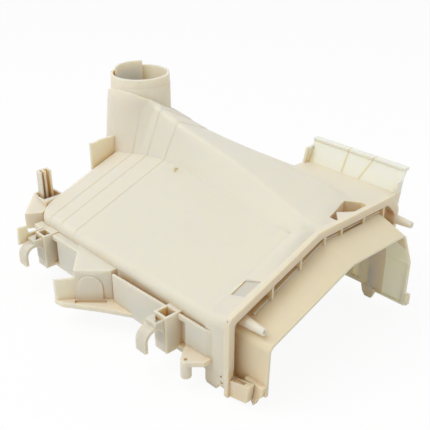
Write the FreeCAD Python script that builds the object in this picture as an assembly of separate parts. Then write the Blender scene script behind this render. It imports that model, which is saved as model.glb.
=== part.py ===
"""Drawer housing of a washing machine's detergent dispenser, one injection moulding.

The housing lies on its open side, as it does on a bench, so the bowl's floor faces up
and the outlet spout stands at the back. Millimetres, +Z up. While it is built, X = 0 is
near the middle of the bowl, Y = 0 is the front flange with the mouth towards -Y, and
Z = 0 is close to the lower rim. The last step moves the origin to the middle of the
footprint, on the ground.
"""
import FreeCAD, Part
import math
import os

V = FreeCAD.Vector
UP = V(0, 0, 1)

# Walls of the moulding
WALL = 2.2
RIB = 1.8
GROUND_Z = -14.0

# Body: a bowl with its floor up, leaning from the left wall up to the channel
BODY_LEFT = -79.0
BODY_RIGHT = 88.0
BODY_BACK = 236.0
BODY_CORNER_R = 20.0
RIM_Z = -4.5
FLOOR_Z = 69.3
FLOOR_SLOPE_X = 0.38
FLOOR_SLOPE_Y = -0.015
SHELF_Z = 73.0
FLOOR_EDGE_X = 20.0
FLOOR_DROP = 5.0
FLOOR_EDGE_R = 8.0

# Channel that gathers the water: foot of its side, its crest and its far edge, by station
CHANNEL_FAR_X = 65.0
CHANNEL = (
    # y, foot x, crest x, crest z, far z
    (0.0, -1.0, 11.0, 77.2, 77.2),
    (38.0, 2.0, 18.0, 80.8, 81.0),
    (99.0, 9.2, 28.2, 89.5, 85.0),
    (165.0, 16.5, 32.7, 100.0, 87.7),
    (205.0, 12.5, 30.5, 113.5, 93.0),
    (222.5, 7.0, 17.5, 124.0, 95.0),
    (BODY_BACK, 5.6, 10.6, 115.5, 95.0),
)
CHANNEL_BASE_Z = 60.0
CREST_R = 4.0

# Low steps across floor and channel towards the back, and a small peg in front of them
TERRACE_YS = (178.0, 198.0, 213.0)
TERRACE_RISE = 0.35
PEG = (10.0, 157.7)
PEG_R = 1.2
PEG_HEIGHT = 4.8
PEG_FIN = (4.2, 3.2, 0.9)

# Outlet spout, its sleeve over the bowl and the baffle in its mouth
SPOUT_X = 39.35
SPOUT_Y = 236.3
SPOUT_R = 26.0
SPOUT_TOP = 132.3
SPOUT_FOOT = 57.0
COLLAR_Z = 124.0
COLLAR_STEP = 0.4
SLEEVE_TOP_Z = 116.0
SLEEVE_TOP_R = 29.3
SLEEVE_FOOT_R = 34.0
SLEEVE_FOOT_Z = 68.0
# plane over the sleeve's slanting top: height at the origin, slope along X, slope along Y
SLEEVE_CUT = (165.3, -0.75, -0.14)
FLARE_Z = 108.0
BAFFLE_R = 21.0
BAFFLE_T = 1.8
BAFFLE_TIE = 2.0
BAFFLE_TOP = 137.0
BAFFLE_FOOT = 102.0
BAFFLE_FROM = 47.0
BAFFLE_TO = 140.0

# Tunnel that the drawer slides through, at its mouth and at the flange
TUNNEL_FRONT = -25.5
TUNNEL_BACK = 9.0
TUNNEL_FOOT_Z = -5.0
TUNNEL_MOUTH = (
    # x, z and the corner's radius
    (-70.2, TUNNEL_FOOT_Z, 0.0),
    (-68.4, 32.2, 7.0),
    (12.5, 61.6, 12.0),
    (73.5, 61.2, 7.0),
    (86.2, 32.5, 5.0),
    (85.4, TUNNEL_FOOT_Z, 0.0),
)
TUNNEL_THROAT = (
    (-70.2, TUNNEL_FOOT_Z, 0.0),
    (-69.0, 35.0, 7.0),
    (11.5, 69.4, 12.0),
    (77.0, 69.4, 7.0),
    (86.2, 33.0, 5.0),
    (85.4, TUNNEL_FOOT_Z, 0.0),
)

# Front flange with its lip and the ribs under it
FLANGE_FRONT = -3.0
POCKET_BACK = 4.0
FLANGE_LEFT = -79.8
FLANGE_FOOT_Z = -13.0
FLANGE = (
    (FLANGE_LEFT, FLANGE_FOOT_Z, 0.0),
    (FLANGE_LEFT, 46.5, 5.0),
    (4.5, 77.6, 8.0),
    (84.0, 77.6, 8.0),
    (96.0, 65.5, 6.0),
    (94.5, 47.5, 2.0),
    (88.0, 42.0, 0.0),
    (88.0, RIM_Z, 0.0),
    (-76.0, RIM_Z, 0.0),
    (-76.0, FLANGE_FOOT_Z, 0.0),
)
LIP = (
    (-81.7, FLANGE_FOOT_Z, 0.0),
    (-81.7, 47.8, 6.0),
    (4.0, 79.5, 9.0),
    (84.8, 79.5, 9.0),
    (97.2, 67.0, 6.5),
    (95.6, 47.5, 2.0),
    (88.0, 42.0, 0.0),
    (88.0, RIM_Z, 0.0),
    (-76.0, RIM_Z, 0.0),
    (-76.0, FLANGE_FOOT_Z, 0.0),
)
LIP_BACK = 0.8
LIP_RELIEF = 0.5
LIP_RELIEF_TOP = 8.0
LIP_DOT_Z = 46.5
LIP_DOT_R = 0.6
POCKET = (
    (-76.3, 0.0, 0.0),
    (-76.3, 43.0, 3.0),
    (5.5, 73.4, 5.0),
    (82.0, 73.4, 5.0),
    (91.5, 64.0, 3.0),
    (91.5, 52.0, 0.0),
    (0.0, 0.0, 0.0),
)
RIB_XS = (-42.5, -15.5, 8.5, 26.5, 52.0, 76.0)
RIDGE = 1.2
POST_INNER = -76.3
SLOT_RIGHT = -70.3
SLOT_TOP = 31.0
SLOT_BACK = 12.0
OVAL = ((-70.6, 35.4), (-69.4, 40.0))
OVAL_R = 1.8

# Shallow recessed panel inside the right wall
PANEL = ((-23.5, 29.5), (9.0, 30.0), (9.0, 1.5), (4.5, -3.0), (-22.0, -3.0))
PANEL_X = 84.4

# Raised band behind the flange, with a shallow window
BAND_BACK = 21.0
BAND_FOOT_Z = -3.5
BAND_STEP = 0.4
BAND_EDGE = 0.7
WINDOW = ((-59.2, 18.5), (-45.6, 18.5), (-44.0, 5.0), (-58.8, 6.5))
WINDOW_DEPTH = 1.3

# Locating pins on the flange
PIN_TIP_Y = -18.0
PIN_ROOT_R = 4.2
PIN_TIP_R = 2.5
PIN_HOLE_R = 1.0
PIN_HOLE_DEPTH = 4.0
PINS = ((-65.0, 39.8), (93.0, 58.5))

# Step in the channel's front end, with a three-cornered gusset
STEP = ((28.5, 2.2), (28.5, 9.5), (55.0, 17.5), (63.5, 8.5), (63.5, 2.2))
STEP_Z = 70.5
STEP_TOP = 95.0
LEDGE_Z = 75.7
GUSSET = ((26.5, 0.0), (38.6, 11.4), (51.5, 0.0))
GUSSET_TOP = 77.5

# Low wall outside the left wall, and the groove behind it
CURB_X = -85.6
CURB_FRONT_X = -81.8
CURB_T = 1.8
CURB_TOP = 30.2
CURB_FOOT = 3.0
CURB_NOSE = 14.0
CURB_FRONT = 19.0
CURB_STOP = 116.0
CURB_BACK = 159.0
CURB_END = 225.0

# Foremost point, a small foot under the tunnel's right wall
TOE_FRONT = -27.5

# Cable clips
CLIP_YS = (45.0, 198.5)
CLIP_DEPTH = 12.5
CLIP_FOOT_Z = 2.0
CLIP_TOP_Z = 31.2
CLIP_LOOP_OUT = -93.2
CLIP_WALL = 1.8
HOOK_X = -100.6
HOOK_Z = 16.5
HOOK_R = 6.8
HOOK_T = 2.6
HOOK_FOOT_Z = 9.0
HOOK_START = 2.0
HOOK_DEPTH = 10.0
CLIP_WINDOW = 7.0

# Boxed-out corner with the arched panel, and the tray under it
BUMP = ((-78.0, 170.0), (-104.5, 138.6), (-84.0, 119.4), (-78.0, 119.0))
BUMP_TOP = 31.4
BUMP_FOOT = 4.0
ARCH_AT = 11.5
ARCH_R = 9.6
ARCH_Z = 17.0
ARCH_RISE = 1.0
TRAY = ((-116.4, 149.0), (-115.4, 140.8), (-98.4, 116.1), (-83.1, 90.0), (-79.0, 96.0),
        (-79.0, 152.0), (-108.0, 152.0))
TRAY_Z = 3.0
TRAY_T = 3.6
TRAY_SLOT_W = 4.6
TRAY_SLOT_DEPTH = 2.2
FIN_TOP = 24.0

# Screw boss beside the front corner
BOSS_X = -93.0
BOSS_Y = 25.5
BOSS_R = 3.8
BOSS_TOP = 9.0
BOSS_FOOT = -5.5
BOSS_BORE_R = 1.35
BOSS_BORE_DEPTH = 10.0
BOSS_PLATE_T = 3.8
BOSS_PLATE = ((-85.5, 36.0), (-78.5, 36.0), (-78.5, 14.5), (-86.5, 14.5))

# Arm with the leaning guard on the right, its two ribs and its end plates
ARM_FRONT = 4.0
ARM_BACK = 94.0
ARM_OUT = 104.0
ARM_Z = 73.5
ARM_SKIRT = 30.0
GUARD_TOP_X = 112.0
GUARD_TOP_Z = 91.0
GUARD_T = 1.8
GUARD_CAP = 4.0
GUARD_CAP_T = 2.2
GUARD_RIB = 1.4
GUARD_RIBS = ((57.0, 57.0), (40.0, 33.0))
END_REAR = ((95.5, 67.5), (104.5, 67.5), (109.0, 86.0), (101.0, 86.0))
END_FRONT = ((97.5, 55.0), (105.0, 53.0), (110.0, 83.0), (103.0, 83.0))
STAY = ((86.0, 50.0), (98.5, 55.0), (101.5, ARM_Z), (86.0, ARM_Z))

# Feet under the front corners and the rear edges, with the toe blocks of the tunnel
FOOT_T = 2.6
FOOT_LEFT = ((21.0, -2.5), (21.0, -12.0), (19.5, GROUND_Z), (10.5, GROUND_Z), (8.0, -8.0), (8.0, -2.5))
FOOT_RIGHT = ((4.0, -3.5), (16.0, -3.5), (14.0, -11.0), (11.5, GROUND_Z), (5.5, GROUND_Z), (3.2, -9.0))
FOOT_WEB = (0.0, 9.0, -9.5)
TAB_HOLES = ((5.1, -6.2, 1.3), (5.6, -1.3, 1.0))
TOE = ((2.0, -1.0), (-19.5, 5.0), (-17.5, -9.0), (0.0, -13.0), (2.0, -13.0))
TOE_RIGHT_X = -74.2
TOE_SLOT = (-78.5, -75.4, -15.5, -3.5, 0.0)
HEEL = ((-10.0, 4.0), (-25.5, 4.0), (-24.5, -4.0), (-20.5, -8.5), (-18.0, -14.0), (-11.0, -4.0))
HEEL_X = (-73.5, -69.6)
TOE_RIGHT = (84.0, 88.5, 5.0, 4.5)
REAR_FOOT_W = 12.0
REAR_FEET_SIDE = (96.0, 205.0)
REAR_FEET_BACK = (-48.0, 46.0)

# Web beside the spout, pocket and post at the rear left corner, plate behind the rear clip
WEB = ((-19.5, 52.0), (14.0, 52.0), (14.0, 82.0), (-11.5, 82.0), (-11.5, 81.0), (-19.5, 81.0))
POUCH = (-70.0, -50.0, 250.5)
POUCH_FOOT = 18.0
POUCH_TOP = 43.0
POST = ((-66.6, 20.0), (-55.0, 20.0), (-56.4, 65.0), (-65.4, 65.0))
POST_Y = 247.0
POST_T = 2.0
POST_RIBS = (-66.2, -62.4, -57.2)
POST_RIB_DEPTH = 5.0
CORNER = ((-88.0, 236.0), (-75.5, 228.5), (-62.0, 232.0), (-62.0, 249.0), (-69.5, 250.3))
CORNER_FOOT = 22.0
# plane over the corner: height at its first point, slope along X, slope along Y
CORNER_ROOF = (36.0, 0.205, 0.34)
FLAG = ((-108.0, 23.6), (-106.8, 38.4), (-99.6, 37.8), (-98.0, 31.0), (-84.0, 31.0), (-84.0, 23.6))
FLAG_Y = 212.6
FLAG_T = 2.0

# Shallow niche inside the right wall: its range along Y and Z
NICHE = (19.0, 26.0, -1.0, 13.0)
NICHE_DEPTH = 1.2
# Reach of the ridge round the tunnel's root
RIDGE_FROM = -57.0
RIDGE_TO = 78.0
RIDGE_FOOT = 36.0


def floor_z(x, y):
    return FLOOR_Z + FLOOR_SLOPE_X * x + FLOOR_SLOPE_Y * y


def box(x0, x1, y0, y1, z0, z1):
    return Part.makeBox(x1 - x0, y1 - y0, z1 - z0, V(x0, y0, z0))


def polygon(points):
    return Part.makePolygon([V(*p) for p in points] + [V(*points[0])])


def extrude(points, direction):
    return Part.Face(polygon(points)).extrude(V(*direction))


def plan_prism(points, z0, z1):
    return extrude([(x, y, z0) for x, y in points], (0, 0, z1 - z0))


def front_prism(points, y0, y1):
    return extrude([(x, y0, z) for x, z in points], (0, y1 - y0, 0))


def side_prism(points, x0, x1):
    return extrude([(x0, y, z) for y, z in points], (x1 - x0, 0, 0))


def bar(start, end, r0, r1=None):
    """Round bar between two points, tapered when r1 is given."""
    start = V(*start)
    along = V(*end) - start
    if r1 is None or abs(r1 - r0) < 1e-6:
        return Part.makeCylinder(r0, along.Length, start, along)
    return Part.makeCone(r0, r1, along.Length, start, along)


def rounded_wire(corners, y):
    """Closed outline in the plane at y, with an arc at each corner that has a radius."""
    count = len(corners)
    starts = []
    ends = []
    for i, (x, z, r) in enumerate(corners):
        here = V(x, y, z)
        before = V(corners[i - 1][0], y, corners[i - 1][1])
        after = V(corners[(i + 1) % count][0], y, corners[(i + 1) % count][1])
        to_before = (before - here).normalize()
        to_after = (after - here).normalize()
        half = to_before.getAngle(to_after) / 2
        reach = r / math.tan(half) if r else 0.0
        starts.append(here + to_before * reach)
        ends.append(here + to_after * reach)
    edges = []
    for i, (x, z, r) in enumerate(corners):
        if r:
            here = V(x, y, z)
            chord_middle = (starts[i] + ends[i]) * 0.5
            inward = (chord_middle - here).normalize()
            gap = math.hypot(r, (starts[i] - here).Length) - r
            edges.append(Part.Arc(starts[i], here + inward * gap, ends[i]).toShape())
        following = starts[(i + 1) % count]
        if (following - ends[i]).Length > 1e-6:
            edges.append(Part.LineSegment(ends[i], following).toShape())
    return Part.Wire(edges)


def front_plate(corners, y0, y1):
    return Part.Face(rounded_wire(corners, y0)).extrude(V(0, y1 - y0, 0))


def grown(points, t):
    """A plan outline moved t outwards."""
    corners = offset_corners([(x, y, 0.0) for x, y in points], -t)
    return [(x, y) for x, y, _ in corners]


def offset_corners(corners, t):
    """The corners moved t inwards, each with its radius less t."""
    count = len(corners)
    area = sum(
        corners[i][0] * corners[(i + 1) % count][1] - corners[(i + 1) % count][0] * corners[i][1]
        for i in range(count)
    )
    turn = 1.0 if area > 0 else -1.0
    moved = []
    for i, (x, z, r) in enumerate(corners):
        bx, bz = corners[i - 1][0], corners[i - 1][1]
        ax, az = corners[(i + 1) % count][0], corners[(i + 1) % count][1]
        in_angle = math.atan2(z - bz, x - bx) + turn * math.pi / 2
        out_angle = math.atan2(az - z, ax - x) + turn * math.pi / 2
        mid = (in_angle + out_angle) / 2
        if math.cos(in_angle - mid) < 0:
            mid += math.pi
        reach = t / math.cos(in_angle - mid)
        moved.append((x + reach * math.cos(mid), z + reach * math.sin(mid), max(r - t, 0.0)))
    return moved


def body_block(t, foot_z, y0, y1, rise=0.0):
    """The bowl as a block, t inside its outer faces and its floor raised by rise."""
    lift = math.hypot(1.0, FLOOR_SLOPE_X) * t - rise
    left = BODY_LEFT + t
    right = BODY_RIGHT - t
    sections = []
    for y in (y0, y1):
        sections.append(polygon([
            (left, y, foot_z),
            (left, y, floor_z(left, y) - lift),
            (FLOOR_EDGE_X, y, floor_z(FLOOR_EDGE_X, y) - lift),
            (FLOOR_EDGE_X + FLOOR_DROP, y, SHELF_Z - t),
            (right, y, SHELF_Z - t),
            (right, y, foot_z),
        ]))
    block = Part.makeLoft(sections, True, True)
    corner = [
        e for e in block.Edges
        if all(abs(v.X - left) < 1e-3 and abs(v.Y - y1) < 1e-3 for v in e.Vertexes)
    ]
    block = block.makeFillet(BODY_CORNER_R - t, corner)
    brow = [
        e for e in block.Edges
        if e.Length > 60 and all(abs(v.X - left) < 1e-3 and v.Z > foot_z + 9 for v in e.Vertexes)
    ]
    return block.makeFillet(FLOOR_EDGE_R - t, brow)


def channel_section(station, t, back_off=0.0):
    """One station of the channel, t inside its outer faces."""
    y, foot_x, crest_x, crest_z, far_z = station
    slope = (crest_z - floor_z(foot_x, y)) / (crest_x - foot_x)
    base_x = foot_x - (floor_z(foot_x, y) - CHANNEL_BASE_Z) / slope
    base_x += t * math.hypot(1.0, slope) / slope
    top_slope = (far_z - crest_z) / (CHANNEL_FAR_X - crest_x)
    drop = t * math.hypot(1.0, top_slope)
    # the crest is where the inner side meets the inner top
    x = (crest_z - drop - top_slope * crest_x - CHANNEL_BASE_Z + slope * base_x)
    x /= slope - top_slope
    z = CHANNEL_BASE_Z + slope * (x - base_x)
    far_x = CHANNEL_FAR_X - t
    y -= back_off
    return rounded_wire([
        (base_x, CHANNEL_BASE_Z, 0.0),
        (x, z, CREST_R - t),
        (far_x, crest_z - drop + top_slope * (far_x - crest_x), 0.0),
        (far_x, CHANNEL_BASE_Z, 0.0),
    ], y)


def channel_block(t):
    """The raised channel between the floor and the spout, t inside its outer faces."""
    long_part = Part.makeLoft([channel_section(s, t) for s in CHANNEL[:-2]], True, False)
    end = [channel_section(s, t) for s in CHANNEL[-3:-1]]
    end.append(channel_section(CHANNEL[-1], t, t))
    return [long_part, Part.makeLoft(end, True, True)]


def terraces():
    """Floor and channel again from each terrace line back, a little higher each time."""
    made = []
    for count, y in enumerate(TERRACE_YS, 1):
        rise = count * TERRACE_RISE
        rear = box(BODY_LEFT - 1, BODY_RIGHT + 1, y, BODY_BACK, RIM_Z - 1, SPOUT_TOP)
        for block in [body_block(0.0, RIM_Z, 0.0, BODY_BACK, rise)] + channel_block(-rise):
            if block.BoundBox.YMax > y:
                made.append(block.common(rear))
    return made


def peg():
    """Small peg with a fin on the floor."""
    x, y = PEG
    length, height, thick = PEG_FIN
    foot = floor_z(x, y)
    post = bar((x, y, foot - 1), (x, y, foot + PEG_HEIGHT), PEG_R)
    tail = foot + length * FLOOR_SLOPE_X + thick
    fin = front_prism([(x, foot - 1), (x + length, foot - 1), (x + length, tail), (x, foot + height)],
                      y - thick / 2, y + thick / 2)
    return [post, fin]


def below(shape, plane):
    """What lies under the plane z = a + b x + c y."""
    a, b, c = plane
    far = 400.0
    corners = [(-far, -far), (far, -far), (far, far), (-far, far)]
    roof = Part.Face(polygon([(x, y, a + b * x + c * y) for x, y in corners]))
    return shape.common(roof.extrude(V(0, 0, -900)))


def turned(points):
    """Solid of revolution about the spout's axis from (radius, z) points."""
    face = Part.Face(polygon([(SPOUT_X + r, SPOUT_Y, z) for r, z in points]))
    return face.revolve(V(SPOUT_X, SPOUT_Y, 0), UP, 360)


def spout_outer():
    tube = turned([(0, SPOUT_FOOT), (SPOUT_R + COLLAR_STEP, SPOUT_FOOT),
                   (SPOUT_R + COLLAR_STEP, COLLAR_Z), (SPOUT_R, COLLAR_Z),
                   (SPOUT_R, SPOUT_TOP), (0, SPOUT_TOP)])
    sleeve = turned([(0, SPOUT_FOOT), (SLEEVE_FOOT_R, SPOUT_FOOT),
                     (SLEEVE_FOOT_R, SLEEVE_FOOT_Z), (SLEEVE_TOP_R, SLEEVE_TOP_Z),
                     (SPOUT_R + COLLAR_STEP, COLLAR_Z), (0, COLLAR_Z)])
    return tube.fuse(below(sleeve, SLEEVE_CUT))


def spout_inner():
    bore_r = SPOUT_R - WALL
    foot_r = SLEEVE_FOOT_R - WALL
    flare = turned([(0, SPOUT_FOOT + WALL), (foot_r, SPOUT_FOOT + WALL),
                    (foot_r, SLEEVE_FOOT_Z - WALL), (bore_r, FLARE_Z), (0, FLARE_Z)])
    bore = turned([(0, SPOUT_FOOT + WALL), (bore_r, SPOUT_FOOT + WALL), (bore_r, SPOUT_TOP + 1),
                   (0, SPOUT_TOP + 1)])
    a, b, c = SLEEVE_CUT
    return bore.fuse(below(flare, (a - 2 * WALL, b, c)))


def tunnel(t, y0, y1):
    """The tunnel as a block, t inside its outer faces."""
    mouth = offset_corners(TUNNEL_MOUTH, t) if t else list(TUNNEL_MOUTH)
    throat = offset_corners(TUNNEL_THROAT, t) if t else list(TUNNEL_THROAT)
    if t:
        low = TUNNEL_FOOT_Z - 10
        for outline in (mouth, throat):
            outline[0] = (outline[0][0], low, 0.0)
            outline[-1] = (outline[-1][0], low, 0.0)
    cone = Part.makeLoft([rounded_wire(mouth, y0), rounded_wire(throat, 0.0)], True, True)
    return cone.fuse(front_plate(throat, 0.0, y1))


def ramp(t=0.0):
    """Raised band behind the flange, from the lip down to the floor, t inside its outside."""
    y = BAND_BACK
    lift = math.hypot(1.0, FLOOR_SLOPE_X) * t
    inside = -50.0
    front = polygon([
        (FLANGE_LEFT + t, 0, BAND_FOOT_Z), (FLANGE_LEFT + t, 0, FLANGE[1][1] - lift - BAND_STEP),
        (FLANGE[2][0], 0, FLANGE[2][1] - lift - BAND_STEP), (FLOOR_EDGE_X - 8, 0, CHANNEL_BASE_Z),
        (inside, 0, 30), (inside, 0, BAND_FOOT_Z)])
    edge = BAND_EDGE - lift
    left = BODY_LEFT - BAND_EDGE + t
    rear = polygon([
        (left, y, BAND_FOOT_Z), (left, y, floor_z(left, y) + edge),
        (FLOOR_EDGE_X - 13, y, floor_z(FLOOR_EDGE_X - 13, y) + edge),
        (FLOOR_EDGE_X - 10, y, CHANNEL_BASE_Z),
        (inside, y, 30), (inside, y, BAND_FOOT_Z)])
    block = Part.makeLoft([front, rear], True, True)
    brow = [
        e for e in block.Edges
        if 18 < e.Length < 26 and all(v.X < BODY_LEFT + 1 + t and v.Z > 30 for v in e.Vertexes)
    ]
    return block.makeFillet(FLOOR_EDGE_R - t, brow)


def pins():
    made = []
    holes = []
    for x, z in PINS:
        root = POCKET_BACK
        tip = PIN_TIP_Y
        made.append(bar((x, root, z), (x, tip, z), PIN_ROOT_R, PIN_TIP_R))
        holes.append(bar((x, tip - 1, z), (x, tip + PIN_HOLE_DEPTH, z), PIN_HOLE_R))
    return made, holes


def curb_x(y):
    """The low wall's outer face, which runs in towards the flange in front of the bump."""
    share = (CURB_STOP - y) / (CURB_STOP - CURB_FRONT)
    return CURB_X + (CURB_FRONT_X - CURB_X) * min(max(share, 0.0), 1.0)


def curbs():
    """Low wall outside the left wall, in two lengths with the groove behind it."""
    skin = BODY_LEFT + 1
    far = curb_x(CURB_STOP)
    near = curb_x(CURB_FRONT)
    rail = [(far, CURB_STOP), (near, CURB_FRONT), (FLANGE_LEFT + 0.5, CURB_NOSE), (skin, CURB_NOSE),
            (skin, CURB_FRONT), (near + CURB_T, CURB_FRONT), (far + CURB_T, CURB_STOP)]
    base = [(far, CURB_STOP), (near, CURB_FRONT), (skin, CURB_FRONT), (skin, CURB_STOP)]
    made = [
        plan_prism(rail, CURB_FOOT, CURB_TOP),
        plan_prism(base, CURB_FOOT, CURB_FOOT + CURB_T),
        box(CURB_X, CURB_X + CURB_T, CURB_BACK, CURB_END, CURB_FOOT, CURB_TOP),
        box(CURB_X, skin, CURB_BACK, CURB_END, CURB_FOOT, CURB_FOOT + CURB_T),
        box(CURB_X, skin, CURB_BACK, CURB_END, CURB_TOP - CURB_T, CURB_TOP),
        box(CURB_X, skin, CURB_END - CURB_T, CURB_END, CURB_FOOT, CURB_TOP),
    ]
    for y in CLIP_YS:
        window = box(CURB_X - 1, BODY_LEFT - 0.6, y - CLIP_WINDOW, y, CURB_FOOT + CURB_T,
                     CURB_TOP - CURB_T - 2)
        made = [piece.cut(window) for piece in made]
    return made


def clip(y0):
    """Loop and hook for a cable or hose, its front face at y0."""
    y1 = y0 + CLIP_DEPTH
    wall_x = BODY_LEFT
    loop = box(CLIP_LOOP_OUT, wall_x, y0, y1, CLIP_FOOT_Z, CLIP_TOP_Z)
    hole = box(CLIP_LOOP_OUT + CLIP_WALL, curb_x(y0), y0 + CLIP_WALL, y1 - CLIP_WALL,
               CLIP_FOOT_Z - 1, CLIP_TOP_Z + 1)
    h0 = y0 + HOOK_START
    h1 = h0 + HOOK_DEPTH
    outer_r = HOOK_R + HOOK_T
    hook = bar((HOOK_X, h0, HOOK_Z), (HOOK_X, h1, HOOK_Z), outer_r)
    hook = hook.fuse(box(HOOK_X - outer_r, HOOK_X + outer_r, h0, h1, HOOK_FOOT_Z, HOOK_Z))
    hook = hook.fuse(box(HOOK_X, CLIP_LOOP_OUT + 0.5, h0, h1, HOOK_Z, CLIP_TOP_Z - 2))
    throat = bar((HOOK_X, h0 - 1, HOOK_Z), (HOOK_X, h1 + 1, HOOK_Z), HOOK_R)
    throat = throat.fuse(box(HOOK_X - HOOK_R, HOOK_X + HOOK_R, h0 - 1, h1 + 1,
                             HOOK_FOOT_Z - 10, HOOK_Z))
    nest = plan_prism([(HOOK_X + 1.4, h0 + 1.5), (CLIP_LOOP_OUT - 0.2, h0 + 1.5),
                       (CLIP_LOOP_OUT - 0.2, h1 - 1.5)], HOOK_Z + outer_r + 0.5, CLIP_TOP_Z)
    hook = hook.cut(throat).cut(nest)
    return loop.cut(hole).fuse(hook)


def bump_side(offset):
    """The bump's outline, moved in by offset on its outer sides."""
    (ax, ay), (dx, dy), (cx, cy), (bx, by) = BUMP
    return [(ax, ay - 1.6 * offset), (dx + 1.5 * offset, dy), (cx + 0.3 * offset, cy + 1.4 * offset),
            (bx, by + offset)]


def bump():
    block = plan_prism(BUMP, BUMP_FOOT, BUMP_TOP)
    tray = plan_prism(TRAY, TRAY_Z, TRAY_Z + TRAY_T)
    d = V(BUMP[1][0], BUMP[1][1], 0)
    c = V(BUMP[2][0], BUMP[2][1], 0)
    along = (c - d).normalize()
    out = V(along.y, -along.x, 0)
    centre = d + along * ARCH_AT + out * ARCH_RISE
    foot = TRAY_Z + TRAY_T
    left = centre - along * ARCH_R
    right = centre + along * ARCH_R
    crown = V(centre.x, centre.y, ARCH_Z + ARCH_R)
    arch = Part.Wire([
        Part.LineSegment(V(left.x, left.y, foot), V(left.x, left.y, ARCH_Z)).toShape(),
        Part.Arc(V(left.x, left.y, ARCH_Z), crown, V(right.x, right.y, ARCH_Z)).toShape(),
        Part.LineSegment(V(right.x, right.y, ARCH_Z), V(right.x, right.y, foot)).toShape(),
        Part.LineSegment(V(right.x, right.y, foot), V(left.x, left.y, foot)).toShape(),
    ])
    panel = Part.Face(arch).extrude(out * -(ARCH_RISE + 1))
    start = d + out * 1.2
    end = c + out * 1.2 - along * 4
    slot = plan_prism([
        (start.x, start.y), (end.x, end.y),
        (end.x + out.x * TRAY_SLOT_W, end.y + out.y * TRAY_SLOT_W),
        (start.x + out.x * TRAY_SLOT_W, start.y + out.y * TRAY_SLOT_W),
    ], foot - TRAY_SLOT_DEPTH, foot + 1)
    fin = plan_prism([(TRAY[0][0] + 0.3, TRAY[0][1] - 0.3), (TRAY[0][0] + 0.8, TRAY[0][1] - 2.2),
                      (BUMP[1][0] + 2.0, BUMP[1][1] - 0.4), (BUMP[1][0] + 3.0, BUMP[1][1] + 1.6)],
                     TRAY_Z + 1, FIN_TOP)
    hollow = plan_prism(bump_side(WALL), RIM_Z - 2, BUMP_TOP - WALL)
    return [block, tray.cut(slot), fin, panel], hollow


def tangent_point(start, side):
    """Where a line from start meets the boss, a hair inside its circle."""
    dx = BOSS_X - start[0]
    dy = BOSS_Y - start[1]
    reach = math.hypot(dx, dy)
    turn = math.atan2(dy, dx) + side * math.asin(BOSS_R / reach)
    length = math.sqrt(reach ** 2 - BOSS_R ** 2)
    x = start[0] + length * math.cos(turn)
    y = start[1] + length * math.sin(turn)
    inward = 0.1 / BOSS_R
    return (x + (BOSS_X - x) * inward, y + (BOSS_Y - y) * inward)


def boss():
    sides = [tangent_point(BOSS_PLATE[-1], 1), tangent_point(BOSS_PLATE[0], -1)]
    plate = plan_prism(list(BOSS_PLATE) + sides, BOSS_TOP - BOSS_PLATE_T, BOSS_TOP)
    post = bar((BOSS_X, BOSS_Y, BOSS_FOOT), (BOSS_X, BOSS_Y, BOSS_TOP), BOSS_R)
    foot = [e for e in post.Edges if abs(e.BoundBox.ZMax - BOSS_FOOT) < 1e-3]
    post = post.makeFillet(1.2, foot)
    bore = bar((BOSS_X, BOSS_Y, BOSS_TOP - BOSS_BORE_DEPTH), (BOSS_X, BOSS_Y, BOSS_TOP + 1),
               BOSS_BORE_R)
    return [plate, post], bore


def arm():
    """Shelf on the right with its leaning guard, ribs and end gussets."""
    y0, y1 = ARM_FRONT, ARM_BACK
    top_x = GUARD_TOP_X
    shelf = box(CHANNEL_FAR_X - 2, ARM_OUT, y0, y1, ARM_Z - WALL, ARM_Z)
    skirt = box(BODY_RIGHT - WALL, BODY_RIGHT, y0, y1, SHELF_Z - ARM_SKIRT, ARM_Z)
    guard = front_prism([
        (ARM_OUT - GUARD_T, ARM_Z - WALL), (ARM_OUT, ARM_Z - WALL),
        (top_x + GUARD_T, GUARD_TOP_Z), (top_x, GUARD_TOP_Z)], y0, y1)
    cap = box(top_x - 1.2, top_x + GUARD_CAP, y0, y1, GUARD_TOP_Z - GUARD_CAP_T / 2,
              GUARD_TOP_Z + GUARD_CAP_T / 2)
    made = [shelf, skirt, guard, cap]
    for foot_y, top_y in GUARD_RIBS:
        made.append(extrude([
            (ARM_OUT - 1, foot_y, ARM_Z - 1), (ARM_OUT - 1, foot_y + RIB, ARM_Z - 1),
            (top_x + 1, top_y + RIB, GUARD_TOP_Z), (top_x + 1, top_y, GUARD_TOP_Z)],
            (1 + GUARD_RIB, 0, 0)))
    made.append(front_prism(END_REAR, y1 - WALL, y1))
    made.append(front_prism(END_FRONT, y0, y0 + WALL))
    made.append(front_prism(STAY, y0, y0 + WALL))
    return made


def feet():
    """What the housing stands on, and the toe blocks at the tunnel's foot."""
    left = side_prism(FOOT_LEFT, FLANGE_LEFT, FLANGE_LEFT + FOOT_T)
    right = side_prism(FOOT_RIGHT, BODY_RIGHT - FOOT_T, BODY_RIGHT)
    y0, y1, foot = FOOT_WEB
    web = box(FLANGE_LEFT, FLANGE_LEFT + WALL, y0, y1, foot, BAND_FOOT_Z + 1)
    x0, x1, y0, y1, bottom = TOE_SLOT
    toe = side_prism(TOE, FLANGE_LEFT, TOE_RIGHT_X)
    toe = toe.cut(box(x0, x1, y0 + 1, y1 - 1, bottom, bottom + 20))
    heel = side_prism(HEEL, *HEEL_X)
    x0, x1, length, half = TOE_RIGHT
    right_toe = box(x0, x1, TOE_FRONT, TOE_FRONT + length, -half, half)
    made = [left, web, toe, heel, right, right_toe]
    for y in REAR_FEET_SIDE:
        made.append(box(BODY_RIGHT - FOOT_T, BODY_RIGHT, y, y + REAR_FOOT_W, GROUND_Z, RIM_Z + 1))
    for x in REAR_FEET_BACK:
        made.append(box(x, x + REAR_FOOT_W, BODY_BACK - FOOT_T, BODY_BACK, GROUND_Z, RIM_Z + 1))
    return made


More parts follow.
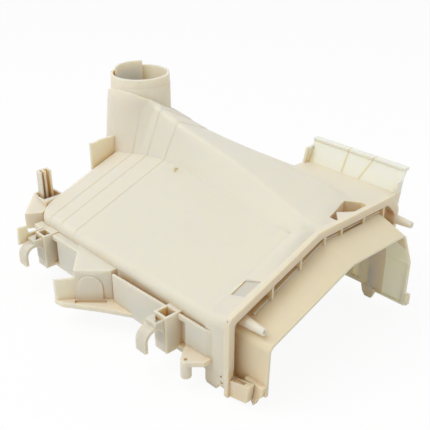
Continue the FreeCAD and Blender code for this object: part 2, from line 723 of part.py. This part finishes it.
def rear_corner():
    """Web, open pocket and post at the back, the leaning corner and the plate by the clip."""
    web = front_prism(WEB, BODY_BACK - WALL, BODY_BACK)
    x0, x1, back = POUCH
    pouch = box(x0, x1, BODY_BACK - 4, back, POUCH_FOOT, POUCH_TOP)
    height, slope_x, slope_y = CORNER_ROOF
    ax, ay = CORNER[0]
    corner = plan_prism(CORNER, CORNER_FOOT, POUCH_TOP + 20)
    corner = below(corner, (height - slope_x * ax - slope_y * ay, slope_x, slope_y))
    hollow = box(x0 + RIB, x1 - RIB, BODY_BACK + 0.6, back - RIB, POUCH_FOOT + RIB, POUCH_TOP + 20)
    post = front_prism(POST, POST_Y, POST_Y + POST_T)
    made = [web, pouch.fuse(corner).cut(hollow), post]
    (_, foot), _, _, (_, top) = POST
    for x in POST_RIBS:
        made.append(front_prism([(x, foot), (x + RIB, foot), (x + RIB, top), (x, top)],
                                POST_Y - POST_RIB_DEPTH, POST_Y + POST_T / 2))
    made.append(front_prism(FLAG, FLAG_Y, FLAG_Y + FLAG_T))
    return made


def add(shape, pieces):
    for piece in pieces:
        shape = shape.fuse(piece)
    return shape


def build():
    bump_solids, bump_hollow = bump()
    boss_solids, boss_bore = boss()
    pin_solids, pin_holes = pins()

    outer = body_block(0.0, RIM_Z, 0.0, BODY_BACK)
    outer = add(outer, channel_block(0.0) + terraces())
    outer = outer.fuse(spout_outer())
    outer = outer.fuse(ramp())
    outer = outer.fuse(front_plate(FLANGE, FLANGE_FRONT, WALL))
    outer = outer.fuse(front_plate(LIP, FLANGE_FRONT, LIP_BACK))
    mouth = tunnel(0.0, TUNNEL_FRONT, TUNNEL_BACK)

    pocket = front_plate(POCKET, FLANGE_FRONT - 1, POCKET_BACK).cut(mouth)
    outer = outer.cut(pocket)

    inner = body_block(WALL, RIM_Z - 20, POCKET_BACK + WALL, BODY_BACK - WALL)
    inner = add(inner, channel_block(WALL))
    front_stop = box(-200, 200, -50, POCKET_BACK + WALL, -50, 200)
    inner = inner.fuse(ramp(WALL)).cut(front_stop).fuse(spout_inner())
    inner = inner.cut(plan_prism(grown(STEP, WALL), STEP_Z - WALL, STEP_TOP))
    bowl = outer.cut(inner)
    bowl = bowl.cut(box(POST_INNER, SLOT_RIGHT, FLANGE_FRONT - 1, SLOT_BACK, BAND_FOOT_Z, SLOT_TOP))
    for x, z in OVAL:
        bowl = bowl.cut(bar((x, FLANGE_FRONT - 1, z), (x, SLOT_BACK, z), OVAL_R))
    (x0, z0), (x1, z1) = OVAL
    oval = ((x0 - OVAL_R, z0), (x0 + OVAL_R, z0), (x1 + OVAL_R, z1), (x1 - OVAL_R, z1))
    bowl = bowl.cut(front_prism(oval, FLANGE_FRONT - 1, SLOT_BACK))
    relief = box(LIP[0][0] - 1, POST_INNER + 0.3, FLANGE_FRONT - 1, FLANGE_FRONT + LIP_RELIEF,
                 FLANGE_FOOT_Z - 1, LIP_RELIEF_TOP)
    bowl = bowl.cut(relief)
    dot = bar((LIP[0][0] - 1, -1.0, LIP_DOT_Z), (LIP[0][0] + 2, -1.0, LIP_DOT_Z), LIP_DOT_R)
    bowl = bowl.cut(dot)

    bowl = add(bowl, bump_solids)
    bowl = add(bowl, curbs())
    bowl = add(bowl, [clip(y) for y in CLIP_YS])
    bowl = add(bowl, boss_solids + arm() + feet() + rear_corner() + peg())

    drawer_way = tunnel(WALL, TUNNEL_FRONT - 1, TUNNEL_BACK + 5)
    bowl = add(bowl, [mouth] + pin_solids)
    bowl = bowl.cut(drawer_way)
    bowl = bowl.cut(bump_hollow)
    tab_holes = [bar((FLANGE_LEFT - 3, y, z), (POST_INNER + 1, y, z), r) for y, z, r in TAB_HOLES]
    for hole in [boss_bore] + pin_holes + tab_holes:
        bowl = bowl.cut(hole)

    outline = offset_corners(TUNNEL_THROAT, -RIDGE)
    ridge = front_plate(outline, -RIDGE, RIDGE).cut(front_plate(TUNNEL_THROAT, -9, 9))
    bowl = bowl.fuse(ridge.common(box(RIDGE_FROM, RIDGE_TO, -RIDGE, RIDGE, RIDGE_FOOT, STEP_TOP)))
    window = plan_prism(WINDOW, 20, 95).cut(ramp().translated(V(0, 0, -WINDOW_DEPTH)))
    bowl = bowl.cut(window)
    panel = side_prism(PANEL, PANEL_X - 2, PANEL_X)
    bowl = bowl.cut(panel)
    skin = BODY_RIGHT - WALL
    bowl = bowl.cut(box(skin - 1, skin + NICHE_DEPTH, *NICHE))
    for x in RIB_XS:
        rib = box(x, x + RIB, FLANGE_FRONT, POCKET_BACK + 1, 0, 100)
        rib = rib.common(front_plate(POCKET, FLANGE_FRONT, POCKET_BACK + 1).cut(drawer_way))
        bowl = bowl.fuse(rib)

    bowl = bowl.cut(plan_prism(STEP, STEP_Z, STEP_TOP))
    bowl = bowl.cut(box(STEP[0][0], STEP[-1][0], LIP_BACK, STEP[0][1] + 1, LEDGE_Z, STEP_TOP))
    bowl = bowl.fuse(plan_prism(GUSSET, STEP_Z - 1, GUSSET_TOP))
    return bowl


def baffle():
    """Curved wall in the spout's mouth, standing a little above its rim."""
    a0 = math.radians(BAFFLE_FROM)
    a1 = math.radians(BAFFLE_TO)
    am = (a0 + a1) / 2
    edges = []
    rims = []
    for r in (BAFFLE_R - BAFFLE_T / 2, BAFFLE_R + BAFFLE_T / 2):
        pts = [V(SPOUT_X + r * math.cos(a), SPOUT_Y + r * math.sin(a), BAFFLE_FOOT)
               for a in (a0, am, a1)]
        edges.append(Part.Arc(*pts).toShape())
        rims.append(pts)
    edges.append(Part.LineSegment(rims[0][0], rims[1][0]).toShape())
    edges.append(Part.LineSegment(rims[0][2], rims[1][2]).toShape())
    wall = Part.Face(Part.Wire(Part.__sortEdges__(edges)))
    wall = wall.extrude(V(0, 0, BAFFLE_TOP - BAFFLE_FOOT))
    mid = V(math.cos(am), math.sin(am), 0)
    side = V(-mid.y, mid.x, 0) * (BAFFLE_TIE / 2)
    a = V(SPOUT_X, SPOUT_Y, BAFFLE_FOOT) + mid * BAFFLE_R
    b = V(SPOUT_X, SPOUT_Y, BAFFLE_FOOT) + mid * (SPOUT_R - 1)
    tie = Part.Face(Part.makePolygon([a - side, b - side, b + side, a + side, a - side]))
    return [wall, tie.extrude(V(0, 0, COLLAR_Z - BAFFLE_FOOT))]


os.makedirs("parts", exist_ok=True)
housing = add(build(), baffle()).removeSplitter()
left_end = TRAY[0][0]
right_end = GUARD_TOP_X + GUARD_CAP
back_end = SPOUT_Y + SLEEVE_FOOT_R
housing.translate(V(-(left_end + right_end) / 2, -(TOE_FRONT + back_end) / 2, -GROUND_Z))
housing.exportStep("parts/dispenser_housing.step")
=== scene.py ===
import math

import bpy
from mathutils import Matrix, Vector

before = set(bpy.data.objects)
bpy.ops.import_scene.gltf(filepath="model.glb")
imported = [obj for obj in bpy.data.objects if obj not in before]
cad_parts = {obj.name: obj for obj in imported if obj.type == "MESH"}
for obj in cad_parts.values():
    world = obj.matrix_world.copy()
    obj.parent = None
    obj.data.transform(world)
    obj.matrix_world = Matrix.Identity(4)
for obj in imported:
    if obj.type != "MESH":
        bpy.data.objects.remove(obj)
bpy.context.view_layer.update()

# Camera, in metres and degrees. The photograph looks down on the part from its front left.
CAMERA_AT = (-0.3398, -0.3894, 0.3256)
CAMERA_HEADING = -42.964
CAMERA_PITCH = 27.084
LENS = 60.83
SENSOR = 36.0

# Colours, as linear RGB
IVORY = (0.78, 0.73, 0.62)
IVORY_CLOUD = (0.755, 0.70, 0.58)
# painted shade: the warmer, darker tone of the tunnel
IVORY_WARM_SHADE = (0.76, 0.66, 0.49)
# painted shade: amber in corners, creases and grooves
AMBER_CORNER_SHADE = (0.65, 0.43, 0.16)
# painted light: the thin guard, lighter as if lit through
THIN_GUARD_LIGHT = (0.81, 0.81, 0.73)
# painted shade: the ribs behind the guard, seen through it
GUARD_RIB_SHADE = (0.74, 0.67, 0.47)
# painted shade: the recessed window in the band
WINDOW_SHADE = (0.66, 0.61, 0.52)
# painted light: the inner face of the tunnel's right wall
PAINTED_LIGHT_WALL = (0.98, 0.91, 0.73)
# painted shade: the hooks
SHADED = (0.65, 0.62, 0.53)
FLOOR_COLOUR = (0.93, 0.93, 0.93)
WHITE = (1, 1, 1, 1)

# The plastic's clouds and fine grain: noise scales, and the grain's strength and height in metres
CLOUD_SCALE = 16.0
GRAIN_SCALE = 1100.0
GRAIN_STRENGTH = 0.06
GRAIN_HEIGHT = 0.0002

# How the plastic takes light. The radius is the share of each colour, the scale is in metres.
ROUGHNESS = 0.42
GLOSS = 0.42
SUBSURFACE = 0.8
SUBSURFACE_RADIUS = (1.0, 0.8, 0.45)
SUBSURFACE_SCALE = 0.006

# The painted shade of the corners, in amber: how far it reaches in metres, how fast it fades,
# rays per sample
CORNER_REACH = 0.02
CORNER_FADE = 2.0
CORNER_SAMPLES = 12

# The moulded edges: radius in metres, segments, the smallest turn in degrees that is rounded
EDGE_RADIUS = 0.0005
EDGE_SEGMENTS = 2
EDGE_ANGLE = 40
WELD_DISTANCE = 0.00001

# The studio: floor in metres, how white the camera sees it, sky strength, and the two lamps as
# name, place, size in metres and watts
FLOOR_SIZE = 8.0
FLOOR_Z = -0.0004
FLOOR_ROUGHNESS = 0.9
FLOOR_WHITE = 0.92
SKY_STRENGTH = 0.62
LAMP_AIM = (0, 0, 0.05)
KEY_LAMP = ("key", (-0.55, 0.25, 1.1), 0.9, 7.0)
FILL_LAMP = ("fill", (0.8, -0.7, 0.8), 0.8, 1.2)

# The thin guard on the arm, with painted light let through it and painted shade on its ribs: what
# lies above and beyond these places, and its two ribs
GUARD_FROM_X = 0.1022
GUARD_FOOT_Z = 0.0876
GUARD_TOP_Z = 0.1040
GUARD_RIBS = ((-0.0635, -0.0635), (-0.0805, -0.0875))
GUARD_RIB_HALF = 0.0009

# Where the tunnel's painted shade, a warmer and darker tone, starts and ends along Y
TUNNEL_SHADE_SPAN = (-0.1185, -0.128)

# The tunnel's right wall, whose inner face is painted lighter, as painted light let through the
# thin wall
RIGHT_WALL = ((0.0780, -0.1500, 0.0), (0.1170, -0.1262, 0.064))

# Places painted with a tone: low corner, high corner, colour. The window and the hooks get
# painted shade, the pins their plain ivory back.
TONE_AND_SHADE_PATCHES = (
    # the shallow window in the band behind the flange, painted darker as the shade in its recess
    ((-0.0590, -0.1160, 0.050), (-0.0440, -0.1030, 0.080), WINDOW_SHADE),
    # the two pins
    ((-0.0695, -0.1400, 0.0495), (-0.0600, -0.1258, 0.0585), IVORY),
    ((0.0885, -0.1400, 0.0680), (0.0980, -0.1258, 0.0770), IVORY),
    # the two hooks, painted in shade
    ((-0.1120, -0.0770, 0.010), (-0.0935, -0.0630, 0.046), SHADED),
    ((-0.1120, 0.0765, 0.010), (-0.0935, 0.0905, 0.046), SHADED),
)


def new_material(name):
    material = bpy.data.materials.new(name)
    material.use_nodes = True
    nodes = material.node_tree.nodes
    return material, nodes, material.node_tree.links, nodes["Principled BSDF"]


def add_node(nodes, kind, **values):
    node = nodes.new(kind)
    for key, value in values.items():
        if key in node.inputs:
            node.inputs[key].default_value = value
        else:
            setattr(node, key, value)
    return node


def maths(nodes, links, operation, first, second=None):
    """One sum on two values, each a socket or a number."""
    node = add_node(nodes, "ShaderNodeMath", operation=operation)
    for socket, value in zip(node.inputs, (first, second)):
        if isinstance(value, bpy.types.NodeSocket):
            links.new(value, socket)
        elif value is not None:
            socket.default_value = value
    return node.outputs["Value"]


def blend_colour(nodes, links, share, first, second):
    """first where share is 0, second where it is 1; each is a socket or a colour."""
    node = add_node(nodes, "ShaderNodeMix", data_type="RGBA")
    links.new(share, node.inputs["Factor"])
    for name, value in (("A", first), ("B", second)):
        socket = [s for s in node.inputs if s.name == name and s.type == "RGBA"][0]
        if isinstance(value, bpy.types.NodeSocket):
            links.new(value, socket)
        else:
            socket.default_value = (*value, 1)
    return [s for s in node.outputs if s.type == "RGBA"][0]


def between(nodes, links, value, low, high):
    """1 where the value lies between two others."""
    above = maths(nodes, links, "GREATER_THAN", value, low)
    return maths(nodes, links, "MULTIPLY", above, maths(nodes, links, "LESS_THAN", value, high))


def inside(nodes, links, axes, low, high):
    """1 inside a box given by two corners."""
    share = 1.0
    for axis, least, most in zip("XYZ", low, high):
        along = between(nodes, links, axes.outputs[axis], least, most)
        share = maths(nodes, links, "MULTIPLY", along, share)
    return share


def tunnel_shade_mask(nodes, links, axes):
    """0 on the bowl, 1 on the tunnel in front of the flange, for its painted shade."""
    start, end = TUNNEL_SHADE_SPAN
    reach = maths(nodes, links, "SUBTRACT", axes.outputs["Y"], start)
    reach = maths(nodes, links, "DIVIDE", reach, end - start)
    reach = maths(nodes, links, "MINIMUM", reach, 1.0)
    return maths(nodes, links, "MAXIMUM", reach, 0.0)


def guard_light_and_rib_shade_masks(nodes, links, axes):
    """Where the thin guard is, painted with light let through it, and where the ribs behind it
    show through as painted shade.
    """
    beyond = maths(nodes, links, "GREATER_THAN", axes.outputs["X"], GUARD_FROM_X)
    above = maths(nodes, links, "GREATER_THAN", axes.outputs["Z"], GUARD_FOOT_Z)
    guard = maths(nodes, links, "MULTIPLY", beyond, above)
    rise = maths(nodes, links, "SUBTRACT", axes.outputs["Z"], GUARD_FOOT_Z)
    rise = maths(nodes, links, "DIVIDE", rise, GUARD_TOP_Z - GUARD_FOOT_Z)
    ribs = []
    for foot, top in GUARD_RIBS:
        line = maths(nodes, links, "MULTIPLY", rise, top - foot)
        line = maths(nodes, links, "ADD", line, foot)
        away = maths(nodes, links, "SUBTRACT", axes.outputs["Y"], line)
        away = maths(nodes, links, "ABSOLUTE", away)
        ribs.append(maths(nodes, links, "LESS_THAN", away, GUARD_RIB_HALF))
    both = maths(nodes, links, "MAXIMUM", *ribs)
    return guard, maths(nodes, links, "MULTIPLY", both, guard)


def painted_light_wall_mask(nodes, links, axes):
    """Where the inner face of the tunnel's right wall is, which gets painted light."""
    facing = add_node(nodes, "ShaderNodeSeparateXYZ")
    links.new(add_node(nodes, "ShaderNodeNewGeometry").outputs["Normal"], facing.inputs["Vector"])
    inwards = maths(nodes, links, "LESS_THAN", facing.outputs["X"], 0.0)
    return maths(nodes, links, "MULTIPLY", inwards, inside(nodes, links, axes, *RIGHT_WALL))


def painted_corner_shade(nodes, links):
    """How much painted shade a corner gets, from how far light is caught there, 0 in the open."""
    corners = add_node(
        nodes, "ShaderNodeAmbientOcclusion", samples=CORNER_SAMPLES, Distance=CORNER_REACH
    )
    corner_shade_share = maths(nodes, links, "SUBTRACT", 1.0, corners.outputs["AO"])
    return maths(nodes, links, "POWER", corner_shade_share, CORNER_FADE)


def housing_colour(nodes, links, place):
    """Faint flow clouds, a warm painted shade on the tunnel, painted light on the thin guard and
    the tunnel's right wall, painted shade on the guard's ribs, the window and the hooks, and
    amber painted shade in the corners.
    """
    clouds = add_node(nodes, "ShaderNodeTexNoise", Scale=CLOUD_SCALE, Detail=3.0, Roughness=0.5)
    links.new(place, clouds.inputs["Vector"])
    colour = blend_colour(nodes, links, clouds.outputs["Fac"], IVORY_CLOUD, IVORY)
    axes = add_node(nodes, "ShaderNodeSeparateXYZ")
    links.new(place, axes.inputs["Vector"])
    # painted shade on the tunnel in front of the flange
    colour = blend_colour(nodes, links, tunnel_shade_mask(nodes, links, axes), colour, IVORY_WARM_SHADE)
    guard, ribs = guard_light_and_rib_shade_masks(nodes, links, axes)
    # painted light let through the guard, then painted shade on its ribs
    colour = blend_colour(nodes, links, guard, colour, THIN_GUARD_LIGHT)
    colour = blend_colour(nodes, links, ribs, colour, GUARD_RIB_SHADE)
    # painted shade: amber in the corners
    colour = blend_colour(nodes, links, painted_corner_shade(nodes, links), colour, AMBER_CORNER_SHADE)
    # painted light on the inner face of the tunnel's right wall
    colour = blend_colour(nodes, links, painted_light_wall_mask(nodes, links, axes), colour, PAINTED_LIGHT_WALL)
    # painted shade on the window and hooks, plain ivory on the pins
    for low, high, tone in TONE_AND_SHADE_PATCHES:
        colour = blend_colour(nodes, links, inside(nodes, links, axes, low, high), colour, tone)
    return colour


def housing_plastic():
    """Ivory polypropylene: matt, slightly translucent, with a fine grain."""
    material, nodes, links, shader = new_material("ivory_plastic")
    place = add_node(nodes, "ShaderNodeTexCoord").outputs["Object"]
    links.new(housing_colour(nodes, links, place), shader.inputs["Base Color"])
    grain = add_node(nodes, "ShaderNodeTexNoise", Scale=GRAIN_SCALE, Detail=2.0)
    links.new(place, grain.inputs["Vector"])
    bump = add_node(nodes, "ShaderNodeBump", Strength=GRAIN_STRENGTH, Distance=GRAIN_HEIGHT)
    links.new(grain.outputs["Fac"], bump.inputs["Height"])
    links.new(bump.outputs["Normal"], shader.inputs["Normal"])
    shader.inputs["Roughness"].default_value = ROUGHNESS
    shader.inputs["Specular IOR Level"].default_value = GLOSS
    shader.inputs["Subsurface Weight"].default_value = SUBSURFACE
    shader.inputs["Subsurface Radius"].default_value = SUBSURFACE_RADIUS
    shader.inputs["Subsurface Scale"].default_value = SUBSURFACE_SCALE
    return material


def dress_housing():
    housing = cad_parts["dispenser_housing"]
    housing.data.materials.clear()
    housing.data.materials.append(housing_plastic())
    weld = housing.modifiers.new("weld", "WELD")
    weld.merge_threshold = WELD_DISTANCE
    bevel = housing.modifiers.new("soft_edges", "BEVEL")
    bevel.width = EDGE_RADIUS
    bevel.segments = EDGE_SEGMENTS
    bevel.limit_method = "ANGLE"
    bevel.angle_limit = math.radians(EDGE_ANGLE)
    bevel.use_clamp_overlap = True
    bevel.harden_normals = True


def seen_directly(nodes, links):
    """1 for what the camera sees itself, in a gloss or through glass, 0 for light on the part."""
    path = add_node(nodes, "ShaderNodeLightPath")
    seen = path.outputs["Is Camera Ray"]
    for ray in ("Is Glossy Ray", "Is Transmission Ray"):
        seen = maths(nodes, links, "MAXIMUM", seen, path.outputs[ray])
    return seen


def make_floor():
    bpy.ops.mesh.primitive_plane_add(size=FLOOR_SIZE, location=(0, 0, FLOOR_Z))
    floor = bpy.context.object
    floor.name = "floor"
    material, nodes, links, shader = new_material("floor")
    shader.inputs["Base Color"].default_value = (*FLOOR_COLOUR, 1)
    shader.inputs["Roughness"].default_value = FLOOR_ROUGHNESS
    shader.inputs["Specular IOR Level"].default_value = 0.0
    white = add_node(nodes, "ShaderNodeEmission", Strength=1.0)
    mix = add_node(nodes, "ShaderNodeMixShader")
    share = maths(nodes, links, "MULTIPLY", seen_directly(nodes, links), FLOOR_WHITE)
    links.new(share, mix.inputs["Fac"])
    links.new(shader.outputs["BSDF"], mix.inputs[1])
    links.new(white.outputs["Emission"], mix.inputs[2])
    links.new(mix.outputs["Shader"], nodes["Material Output"].inputs["Surface"])
    floor.data.materials.append(material)


def add_lamp(name, at, size, watts):
    data = bpy.data.lights.new(name, "AREA")
    data.shape = "SQUARE"
    data.size = size
    data.energy = watts
    light = bpy.data.objects.new(name, data)
    bpy.context.scene.collection.objects.link(light)
    light.location = at
    aim = Vector(LAMP_AIM) - Vector(at)
    light.rotation_euler = aim.to_track_quat("-Z", "Y").to_euler()


def make_lights():
    world = bpy.data.worlds.new("studio")
    bpy.context.scene.world = world
    world.use_nodes = True
    nodes = world.node_tree.nodes
    links = world.node_tree.links
    sky = nodes["Background"]
    sky.inputs["Color"].default_value = WHITE
    sky.inputs["Strength"].default_value = SKY_STRENGTH
    white = add_node(nodes, "ShaderNodeBackground", Color=WHITE, Strength=1.0)
    mix = add_node(nodes, "ShaderNodeMixShader")
    links.new(seen_directly(nodes, links), mix.inputs["Fac"])
    links.new(sky.outputs["Background"], mix.inputs[1])
    links.new(white.outputs["Background"], mix.inputs[2])
    links.new(mix.outputs["Shader"], nodes["World Output"].inputs["Surface"])
    add_lamp(*KEY_LAMP)
    add_lamp(*FILL_LAMP)


def make_camera():
    data = bpy.data.cameras.new("camera")
    data.lens = LENS
    data.sensor_width = SENSOR
    camera = bpy.data.objects.new("camera", data)
    bpy.context.scene.collection.objects.link(camera)
    camera.location = CAMERA_AT
    tilt = math.radians(90 - CAMERA_PITCH)
    camera.rotation_euler = (tilt, 0, math.radians(CAMERA_HEADING))
    bpy.context.scene.camera = camera


bpy.context.scene.view_settings.view_transform = "Standard"
make_camera()
make_lights()
make_floor()
dress_housing()
